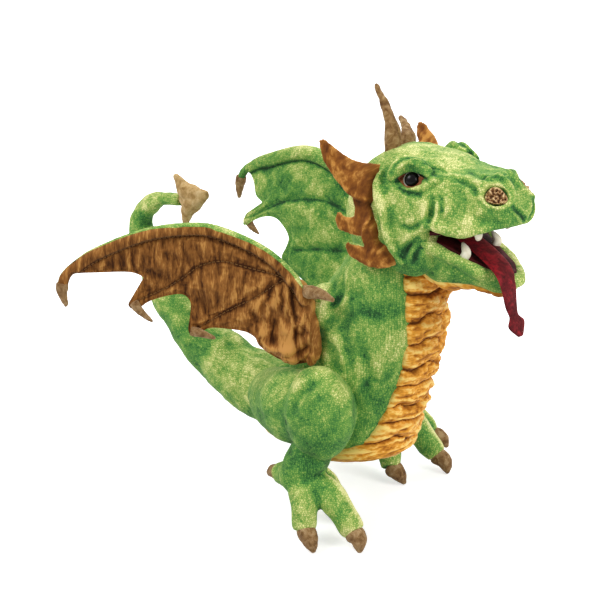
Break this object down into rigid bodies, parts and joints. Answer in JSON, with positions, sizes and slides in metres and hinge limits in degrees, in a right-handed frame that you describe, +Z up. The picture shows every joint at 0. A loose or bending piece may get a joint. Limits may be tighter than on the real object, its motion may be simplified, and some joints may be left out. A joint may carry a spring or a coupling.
{
  "type": "moving mouth hand puppet",
  "caption": "Plush dragon hand puppet that stands on its feet, with a mouth the hand opens, hinged wings, hips and tail.",
  "frame": {"origin": "on the floor under the middle of the whole puppet", "axes": "+X the way the puppet faces, +Y to its left, +Z up"},
  "size_m": [0.4935, 0.3314, 0.4238],
  "materials": {
    "green_plush": "scale-print plush with a sheen",
    "gold_velour": "gathered crushed velour",
    "brown_velour": "crushed velour",
    "tan_cloth": "coarse woven cloth",
    "claw_cloth": "coarse woven cloth",
    "mouth_velour": "short velour",
    "tongue_velour": "velour",
    "tooth_cloth": "smooth cloth",
    "mouth_board": "stiff board",
    "eye_cloth": "short plush",
    "eye_plastic": "polished",
    "washer_plastic": "moulded"
  },
  "bodies": {
    "torso": {"body_skin": "green_plush", "belly_panel": "gold_velour", "arm_hem": "brown_velour", "left_wing_tab": "green_plush", "right_wing_tab": "green_plush"},
    "neck": {"neck_skin": "green_plush", "neck_panel": "gold_velour"},
    "head": {"head_skin": "green_plush", "upper_mouth_board": "mouth_board", "upper_mouth_lining": "mouth_velour", "upper_fangs": "tooth_cloth", "left_horn": "tan_cloth", "right_horn": "tan_cloth", "left_frill": "gold_velour", "right_frill": "gold_velour", "left_eye_patch": "eye_cloth", "right_eye_patch": "eye_cloth", "left_eye": "eye_plastic", "right_eye": "eye_plastic", "left_eye_washer": "washer_plastic", "right_eye_washer": "washer_plastic", "left_eyelid": "green_plush", "right_eyelid": "green_plush", "left_nostril": "claw_cloth", "right_nostril": "claw_cloth"},
    "jaw": {"jaw_skin": "green_plush", "throat_panel": "gold_velour", "lower_mouth_board": "mouth_board", "lower_mouth_lining": "mouth_velour", "lower_fangs": "tooth_cloth"},
    "tongue": {"tongue": "tongue_velour"},
    "left_wing": {"left_wing_back": "green_plush", "left_wing_lining": "brown_velour", "left_wing_arm": "brown_velour", "left_wing_fingers": "brown_velour", "left_wing_claws": "claw_cloth"},
    "right_wing": {"right_wing_back": "green_plush", "right_wing_lining": "brown_velour", "right_wing_arm": "brown_velour", "right_wing_fingers": "brown_velour", "right_wing_claws": "claw_cloth"},
    "left_leg": {"left_thigh": "green_plush", "left_foot": "green_plush", "left_foot_claws": "claw_cloth"},
    "right_leg": {"right_thigh": "green_plush", "right_foot": "green_plush", "right_foot_claws": "claw_cloth"},
    "tail": {"tail": "green_plush", "tail_barb": "tan_cloth"}
  },
  "joints": [
    {"name": "head_turn", "type": "hinge", "parent": "torso", "child": "neck", "pos_m": [0.093, 0.0417, 0.22225], "axis": [0, 0, 1], "range_deg": [-25, 25]},
    {"name": "head_nod", "type": "hinge", "parent": "neck", "child": "head", "pos_m": [0.1075, 0.0417, 0.26275], "axis": [0, 1, 0], "range_deg": [-9, 8]},
    {"name": "jaw_open", "type": "hinge", "parent": "head", "child": "jaw", "pos_m": [0.1595, 0.0417, 0.3005], "axis": [0, 1, 0], "range_deg": [-17, 7]},
    {"name": "tongue_swing", "type": "hinge", "parent": "jaw", "child": "tongue", "pos_m": [0.17607, 0.0417, 0.29347], "axis": [0.3907, 0, 0.9205], "range_deg": [-8, 8]},
    {"name": "left_wing_flap", "type": "hinge", "parent": "torso", "child": "left_wing", "pos_m": [0.0575, 0.1027, 0.18674], "axis": [0, 0, -1], "range_deg": [-4, 45]},
    {"name": "right_wing_flap", "type": "hinge", "parent": "torso", "child": "right_wing", "pos_m": [0.0575, -0.0193, 0.18674], "axis": [0, 0, 1], "range_deg": [-33, 14]},
    {"name": "left_hip", "type": "hinge", "parent": "torso", "child": "left_leg", "pos_m": [0.0525, 0.10095, 0.124], "axis": [0, 1, 0], "range_deg": [-8, 8]},
    {"name": "right_hip", "type": "hinge", "parent": "torso", "child": "right_leg", "pos_m": [0.0695, -0.01755, 0.124], "axis": [0, 1, 0], "range_deg": [-8, 8]},
    {"name": "tail_swing", "type": "hinge", "parent": "torso", "child": "tail", "pos_m": [-0.01175, 0.0417, 0.087], "axis": [0, 0, 1], "range_deg": [-12, 12]}
  ]
}
